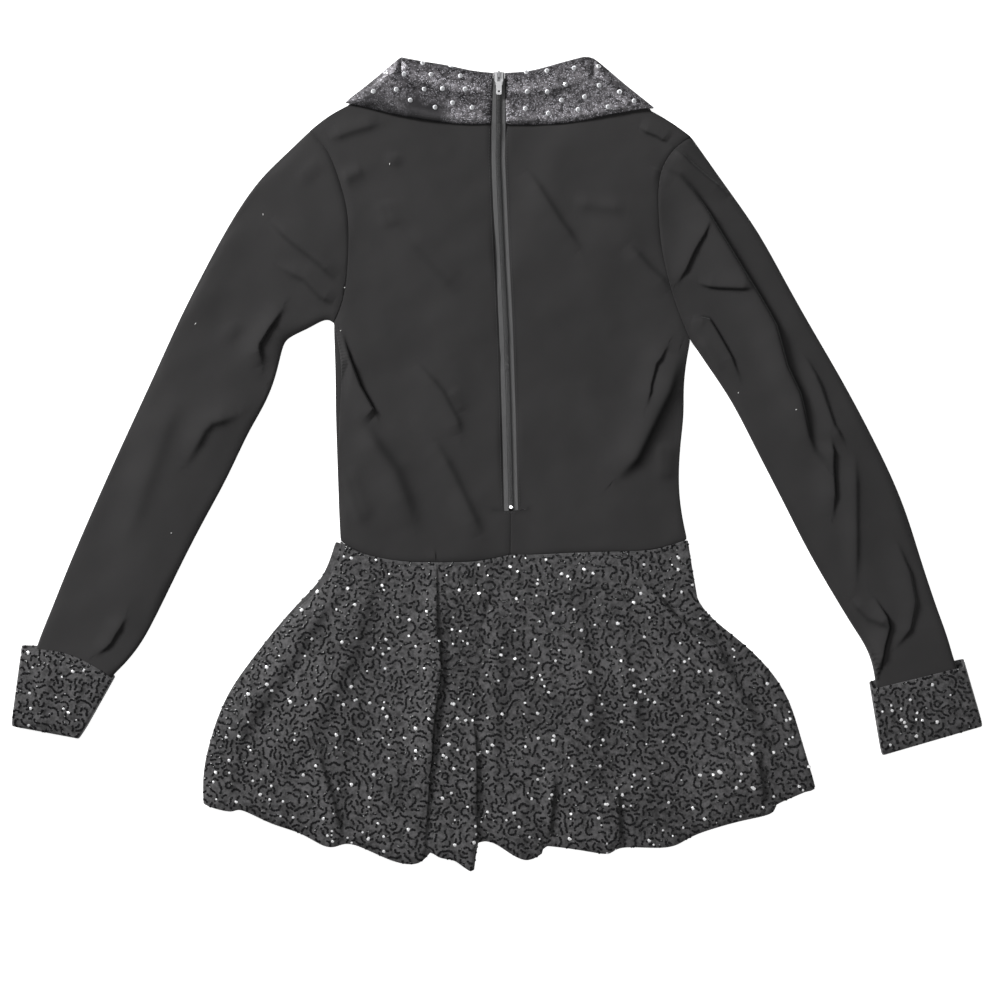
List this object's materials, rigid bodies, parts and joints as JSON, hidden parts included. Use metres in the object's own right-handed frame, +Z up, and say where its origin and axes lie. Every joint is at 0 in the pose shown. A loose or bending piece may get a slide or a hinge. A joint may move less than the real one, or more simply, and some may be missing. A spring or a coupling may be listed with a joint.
{
  "type": "blazer dress",
  "caption": "Short flared dance dress cut like a blazer, long sleeved, laid flat with its back up and its back zip closed.",
  "frame": {"origin": "under the middle of the laid-out garment, on the surface it lies on", "axes": "+X across the garment to the right as its back is seen, +Y from the hem to the collar, +Z up"},
  "size_m": [0.9018, 0.7564, 0.01],
  "materials": {
    "knit": "matte black stretch knit",
    "sequin_cloth": "dark grey cloth with black sequins in squiggles",
    "satin": "charcoal satin with a glitter and crystal stones",
    "zip_tape": "woven tape and nylon coil",
    "metal": "nickel, polished by use"
  },
  "bodies": {
    "garment": {"front": "knit", "back_left": "knit", "back_right": "knit", "sleeve_left": "knit", "sleeve_right": "knit", "cuff_left": "sequin_cloth", "cuff_right": "sequin_cloth", "skirt_back": "sequin_cloth", "skirt_front": "sequin_cloth", "collar_left": "satin", "collar_right": "satin", "lapel_left": "satin", "lapel_right": "satin", "zip_tape_left": "zip_tape", "zip_tape_right": "zip_tape", "zip_coil": "zip_tape", "zip_slider": "metal", "zip_stop": "metal"},
    "pull_tab": {"zip_pull_tab": "metal"}
  },
  "joints": [
    {"name": "pull_tab_swing", "type": "hinge", "parent": "garment", "child": "pull_tab", "pos_m": [0.00228, 0.3619, 0.00821], "axis": [-1, 0, 0], "range_deg": [0, 150]}
  ]
}
